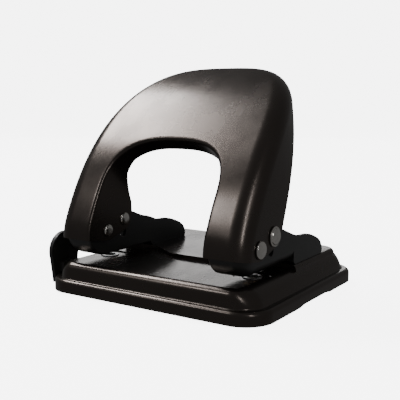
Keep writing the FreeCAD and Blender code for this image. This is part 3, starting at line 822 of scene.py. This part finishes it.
@dataclass
class Base:
    """The stepped base, pressed from one sheet, with a raised rear land and die rings let in."""

    sheet: float = 1.2
    band: Rim = Rim(58.1, -52.6, 52.6, 13.7, 7.2, 2.0, 1.7)
    band_floor: float = 1.2
    top: Rim = Rim(53.9, -50.4, 49.8, 11.0, 15.3, 8.8, 3.4)
    ledge_fillet: float = 0.8
    die_x: float = 40.0
    die_y: float = -24.5
    die_radius: float = 4.5
    dimple_radius: float = 7.8
    dimple_depth: float = 0.5
    land_rise: float = 1.6
    land: Tuple[float, float, float, float] = (50.2, 47.6, 9.0, 2.2)
    land_sunk: float = 3.0
    stop: Tuple[float, float, float, float] = (12.5, -12.4, 27.5, -2.5)
    shoulder_reach: float = 9.0
    past_side: float = 80.0
    guide_y: float = -35.8
    guide_half: float = 4.4
    guide_low: float = 8.7
    guide_high: float = 11.3
    notch_y: float = 2.0
    notch_half: float = 16.0
    notch_rise: float = 1.4

    def rings(self) -> List[List[Vector]]:
        """Rings of points from the band's lower edge up to the flat top.

        Returns:
            The rings, each anticlockwise.
        """
        levels: List[Tuple[Rim, float, float]] = [(self.band, self.band.top - self.band_floor, 0.0),
                                                  (self.band, 4.6, 0.0), (self.band, 3.2, 0.0)]
        for k in range(7):
            levels.append((self.band, 2.1 * (1 - math.sin(math.pi / 2 * k / 6)), 0.0))
        fillet = self.ledge_fillet
        depth = self.top.top - self.band.top
        for k in range(5):
            turn = math.pi / 2 * k / 4
            levels.append((self.top, depth - fillet * (1 - math.cos(turn)), -fillet * (1 - math.sin(turn))))
        for below in (6.9, 6.2, 5.5, 4.8, 4.1, 3.5, 3.0, 2.5, 2.05, 1.65, 1.3, 1.0, 0.75, 0.53,
                      0.35, 0.2, 0.1, 0.04, 0.0):
            levels.append((self.top, below, 0.0))
        return [[millimetres(x, y, rim.top - below) for x, y in rim.ring(below, shrink)]
                for rim, below, shrink in levels]

    def shell(self) -> bpy.types.Object:
        """The pressing's outer skin, mapped from a tube, with its flat top closed."""
        rings = self.rings()
        around = len(rings[0])
        deselect_all()
        bpy.ops.mesh.primitive_grid_add(x_subdivisions=around, y_subdivisions=len(rings) - 1, size=1.0)
        piece = named(bpy.context.object, "base_pressing")
        for vertex in piece.data.vertices:
            column = round((vertex.co.x + 0.5) * around)
            row = round((vertex.co.y + 0.5) * (len(rings) - 1))
            vertex.co = rings[row][column % around]
        shape(piece, "VERT", lambda v: True, lambda: bpy.ops.mesh.remove_doubles(threshold=1e-6))
        shape(piece, "EDGE", lambda e: e.is_boundary and level_at(self.top.top)(e),
              lambda: bpy.ops.mesh.edge_face_add())
        shape(piece, "FACE", lambda f: True, lambda: bpy.ops.mesh.normals_make_consistent(inside=False))
        return piece

    def raised_land(self) -> bpy.types.Object:
        """The raised rear land whose front edge stops the paper."""
        half, back, corner, rounding = self.land
        near, front, far, shoulder = self.stop
        top = self.top.top + self.land_rise
        piece = block("rear_land", (-half, front, self.top.top - self.land_sunk), (half, back, top))
        shape(piece, "EDGE", lambda e: abs(e.verts[0].co.z - e.verts[1].co.z) > 1e-4 and e.verts[0].co.y > 0,
              lambda: bpy.ops.mesh.bevel(offset=corner * MM, segments=12, affect="EDGES"))
        shape(piece, "EDGE", lambda e: level_at(top)(e) and max(v.co.y for v in e.verts) > 0,
              lambda: bpy.ops.mesh.bevel(offset=rounding * MM, segments=6, affect="EDGES"))
        for side in (-1, 1):
            ends = sorted((side * near, side * self.past_side))
            cutter = block("stop_shoulder", (ends[0], front - self.shoulder_reach, 5.0),
                           (ends[1], shoulder, 30.0))
            run = (far - near, shoulder - front)
            back_shift = millimetres(side * run[0], 0.0, 0.0)
            front_shift = millimetres(-side * self.shoulder_reach * run[0] / run[1], 0.0, 0.0)
            shape(cutter, "VERT",
                  lambda v: abs(v.co.x / MM - side * near) < 0.01 and v.co.y / MM > shoulder - 0.01,
                  lambda: bpy.ops.transform.translate(value=back_shift))
            shape(cutter, "VERT", lambda v: abs(v.co.x / MM - side * near) < 0.01 and v.co.y / MM < front,
                  lambda: bpy.ops.transform.translate(value=front_shift))
            carve(piece, cutter)
        return piece

    def build(self, finish: bpy.types.Material) -> bpy.types.Object:
        """Models the pressed cover and dresses it.

        Args:
            finish: The enamel.

        Returns:
            The cover.
        """
        piece = self.shell()
        solid = piece.modifiers.new("sheet", "SOLIDIFY")
        solid.thickness = self.sheet * MM
        solid.offset = -1.0
        apply_modifiers(piece)
        carve(piece, self.raised_land(), "UNION")
        for side in Side:
            x = side.value * self.die_x
            deselect_all()
            depth = self.dimple_depth
            rim = self.dimple_radius + 2.2 * depth
            bpy.ops.mesh.primitive_cone_add(vertices=72, radius1=self.dimple_radius * MM, radius2=rim * MM,
                                            depth=2 * depth * MM,
                                            location=millimetres(x, self.die_y, self.top.top))
            carve(piece, settle(named(bpy.context.object, "dimple_cutter")))
            carve(piece, cylinder("die_hole_cutter", self.die_radius + 0.02, 20.0, (x, self.die_y, 12.0)))
        carve(piece, block("guide_window", (-62.0, self.guide_y - self.guide_half, self.guide_low),
                           (-48.0, self.guide_y + self.guide_half, self.guide_high)))
        notch_radius = (self.notch_half ** 2 + self.notch_rise ** 2) / (2 * self.notch_rise)
        notch_z = self.band_floor + self.notch_rise - notch_radius
        notch = (self.band.half, self.notch_y, notch_z)
        carve(piece, cylinder("finger_notch", notch_radius, 10.0, notch, "X", 512))
        soften = piece.modifiers.new("pressed_edges", "BEVEL")
        soften.width = 0.3 * MM
        soften.segments = 3
        soften.limit_method = "ANGLE"
        soften.angle_limit = math.radians(35)
        apply_modifiers(piece)
        smooth(piece, 38.0)
        return seat(piece, "base", finish, ["base_cover"])


# ---------------------------------------------------------------- brackets, pins and punches

@dataclass
class Rivets:
    """The pins' heads: a domed pivot rivet and a collared drive pin at each leg."""

    pivot: Tuple[float, float] = (-36.8, 29.9)
    drive: Tuple[float, float] = (-24.5, 33.7)
    outer_x: float = 50.4
    inner_x: float = 30.55
    gap: float = 0.15
    shank: float = 2.0

    def head(self, radius: float, height: float, rim: float, crown: float) -> List[Tuple[float, float]]:
        """Half profile of a head: a short upright rim, then a dome with a small flat on top.

        Args:
            radius: At the rim.
            height: From the seat to the top.
            rim: Height of the upright rim.
            crown: Radius of the flat on top.

        Returns:
            Distance and radius pairs, seat first.
        """
        profile = [(0.0, 0.0), (0.0, radius * 0.5), (0.0, radius - 0.12), (0.12, radius), (rim, radius)]
        steps = 14
        for k in range(1, steps + 1):
            turn = math.pi / 2 * k / steps
            profile.append((rim + (height - rim) * math.sin(turn), crown + (radius - crown) * math.cos(turn)))
        profile.append((height, 0.0))
        return profile

    def build(self, side: Side, finish: bpy.types.Material) -> None:
        """Models both pins of one leg.

        Args:
            side: The leg.
            finish: The plating.
        """
        out = side.value
        y, z = self.pivot
        outer = out * (self.outer_x + self.gap)
        inner = out * (self.inner_x - self.gap)
        parts = [turned("pivot_head", self.head(3.9, 1.7, 0.45, 0.9), (outer, y, z), out),
                 turned("pivot_tail", self.head(2.9, 1.2, 0.2, 1.0), (inner, y, z), -out),
                 cylinder("pivot_shank", self.shank, abs(outer - inner), ((outer + inner) / 2, y, z), "X")]
        self._join("pivot_rivet_" + side.word, parts, "base", finish, ["pivot_pin_" + side.word])
        y, z = self.drive
        outer = out * self.outer_x
        inner = out * self.inner_x
        parts = [turned("drive_head", self.drive_head(), (outer, y, z), out),
                 turned("drive_tail", self.head(3.1, 1.2, 0.2, 1.1), (inner, y, z), -out),
                 cylinder("drive_shank", self.shank, abs(outer - inner), ((outer + inner) / 2, y, z), "X")]
        self._join("drive_pin_" + side.word + "_turned", parts, "handle_lever", finish,
                   ["drive_pin_" + side.word])

    def drive_head(self) -> List[Tuple[float, float]]:
        """Half profile of the drive pin's head: a flat collar with a dome standing in it."""
        profile = [(0.0, 0.0), (0.0, 4.25), (0.15, 4.4), (0.6, 4.4), (0.8, 4.2), (0.8, 3.85), (0.72, 3.7)]
        steps = 14
        for k in range(1, steps + 1):
            turn = math.pi / 2 * k / steps
            profile.append((0.72 + 1.38 * math.sin(turn), 0.7 + 2.95 * math.cos(turn)))
        profile.append((2.1, 0.0))
        return profile

    def _join(self, name: str, parts: List[bpy.types.Object], body: str, finish: bpy.types.Material,
              nodes: List[str]) -> None:
        """Joins a pin's parts into one piece and seats it."""
        deselect_all()
        for part in parts:
            part.select_set(True)
        bpy.context.view_layer.objects.active = parts[0]
        bpy.ops.object.join()
        piece = named(bpy.context.object, name)
        smooth(piece, 40.0)
        seat(piece, body, finish, nodes)


@dataclass
class CarriedNodes:
    """The frame's own nodes that stay, and the finish each one gets."""

    frame: dict

    def dress(self, f: Finishes) -> None:
        """Dresses every node that no new piece stands for.

        Args:
            f: The finishes.
        """
        both = {"bracket": f.black, "bracket_rivets": f.zinc, "guide_bush": f.brass, "die_ring": f.tool_steel,
                "punch": f.tool_steel}
        single = {"guide_rail": f.plastic, "guide_detent_spring": f.tool_steel, "paper_guide_tab": f.plastic,
                  "paper_guide_bar": f.zinc, "chip_tray": f.plastic, "non_slip_pad": f.rubber}
        for side in Side:
            single.update({name + "_" + side.word: finish for name, finish in both.items()})
        for name, finish in single.items():
            dress(self.frame["nodes"][name], finish)


@dataclass(frozen=True)
class ReturnSpring:
    """A round-wire compression spring that stands on the base, copied whole from the frame's coil."""

    centre_x: float = 40.0
    centre_y: float = -24.5
    foot: float = 19.7
    kept: float = 0.35

    def build(self, frame: dict, side: Side, finish: bpy.types.Material) -> None:
        """Makes one side's spring from the frame's coil.

        Args:
            frame: What the frame holds.
            side: Which side.
            finish: Its finish.
        """
        node = "punch_spring_" + side.word
        deselect_all()
        piece = frame["nodes"][node].copy()
        piece.data = piece.data.copy()
        bpy.context.scene.collection.objects.link(piece)
        piece = settle(named(piece, node + "_coil"))
        shape(piece, "VERT", lambda item: True, lambda: bpy.ops.mesh.remove_doubles(threshold=0.000001))
        smooth(piece, 40.0)
        seat(piece, "base", finish, (node,))
        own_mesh(piece)


# ---------------------------------------------------------------- studio

@dataclass
class Studio:
    """A plain pale floor, a soft backdrop, softboxes and the camera."""

    lens: float = 64.7
    camera_place: Point = (187.5, -289.96, 91.8)
    turn: float = 33.333
    tilt: float = 8.159
    roll: float = -0.058

    def camera(self) -> None:
        """Places the camera."""
        data = bpy.data.cameras.new("camera")
        data.lens = self.lens
        data.sensor_width = 36.0
        data.clip_start = 0.01
        data.clip_end = 50.0
        item = bpy.data.objects.new("camera", data)
        bpy.context.scene.collection.objects.link(item)
        item.location = millimetres(*self.camera_place)
        item.rotation_euler = (math.radians(90 - self.tilt), math.radians(self.roll), math.radians(self.turn))
        bpy.context.scene.camera = item

    def softbox(self, name: str, place: Point, aim: Point, size: Tuple[float, float], power: float) -> None:
        """A rectangular area light aimed at a point, sizes in metres.

        Args:
            name: Its name.
            place: Where it stands.
            aim: What it faces.
            size: Width and height.
            power: Watts.
        """
        data = bpy.data.lights.new(name, "AREA")
        data.shape = "RECTANGLE"
        data.size, data.size_y = size
        data.energy = power
        item = bpy.data.objects.new(name, data)
        bpy.context.scene.collection.objects.link(item)
        item.location = place
        item.rotation_euler = (Vector(aim) - Vector(place)).to_track_quat("-Z", "Y").to_euler()
        item.visible_camera = False

    def lights(self) -> None:
        """A broad box from the upper left, a low panel behind, and a strip at the right."""
        aim = (0.0, 0.0, 0.05)
        self.softbox("left_box", (-0.77, 0.03, 0.96), aim, (0.60, 0.22), 11.0)
        self.softbox("front_box", (-0.57, -0.73, 0.71), aim, (0.14, 0.20), 1.35)
        self.softbox("back_panel", (-0.70, 1.06, 0.30), aim, (0.9, 0.16), 1.15)
        self.softbox("edge_strip", (0.74, -0.50, 0.50), aim, (0.035, 0.42), 1.2)
        world = bpy.data.worlds.new("studio")
        bpy.context.scene.world = world
        world.use_nodes = True
        shade = world.node_tree.nodes["Background"]
        shade.inputs["Color"].default_value = (1.0, 1.0, 1.0, 1.0)
        shade.inputs["Strength"].default_value = 0.13

    def floor(self) -> None:
        """The pale floor with a sweep up behind, kept out of the paint's reflections."""
        deselect_all()
        bpy.ops.mesh.primitive_plane_add(size=16.0)
        floor = named(bpy.context.object, "floor")
        n = Nodes("floor_paper")
        grain = n.noise(30.0, 4.0, 0.5)
        n.link(n.blend(grain, (0.88, 0.88, 0.88), (0.9, 0.9, 0.9)), n.shader.inputs["Base Color"])
        n.set(Roughness=0.9, Emission_Color=(1.0, 1.0, 1.0, 1.0), Emission_Strength=6.0)
        dress(floor, n.material)
        floor.visible_glossy = False
        floor.visible_diffuse = False
        deselect_all()
        bpy.ops.mesh.primitive_uv_sphere_add(segments=64, ring_count=32, radius=7.0)
        dome = settle(named(bpy.context.object, "backdrop"))
        bpy.ops.object.shade_smooth()
        b = Nodes("backdrop_paper")
        b.link(b.blend(b.noise(0.5), (0.93, 0.93, 0.93), (0.95, 0.95, 0.95)), b.shader.inputs["Base Color"])
        b.set(Roughness=1.0, Emission_Color=(1.0, 1.0, 1.0, 1.0), Emission_Strength=6.0)
        dress(dome, b.material)
        dome.visible_glossy = False
        dome.visible_diffuse = False
        dome.visible_shadow = False


def main() -> None:
    """Builds the punch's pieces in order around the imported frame."""
    logging.basicConfig(level=logging.INFO, format="%(name)s: %(message)s")
    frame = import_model()
    finishes = Finishes.mixed()
    studio = Studio()
    studio.camera()
    studio.lights()
    studio.floor()
    Base().build(finishes.bronze)
    Handle().build(finishes.bronze)
    for side in Side:
        Rivets().build(side, finishes.nickel)
        ReturnSpring().build(frame, side, finishes.tool_steel)
    CarriedNodes(frame).dress(finishes)


if __name__ == "__main__":
    main()
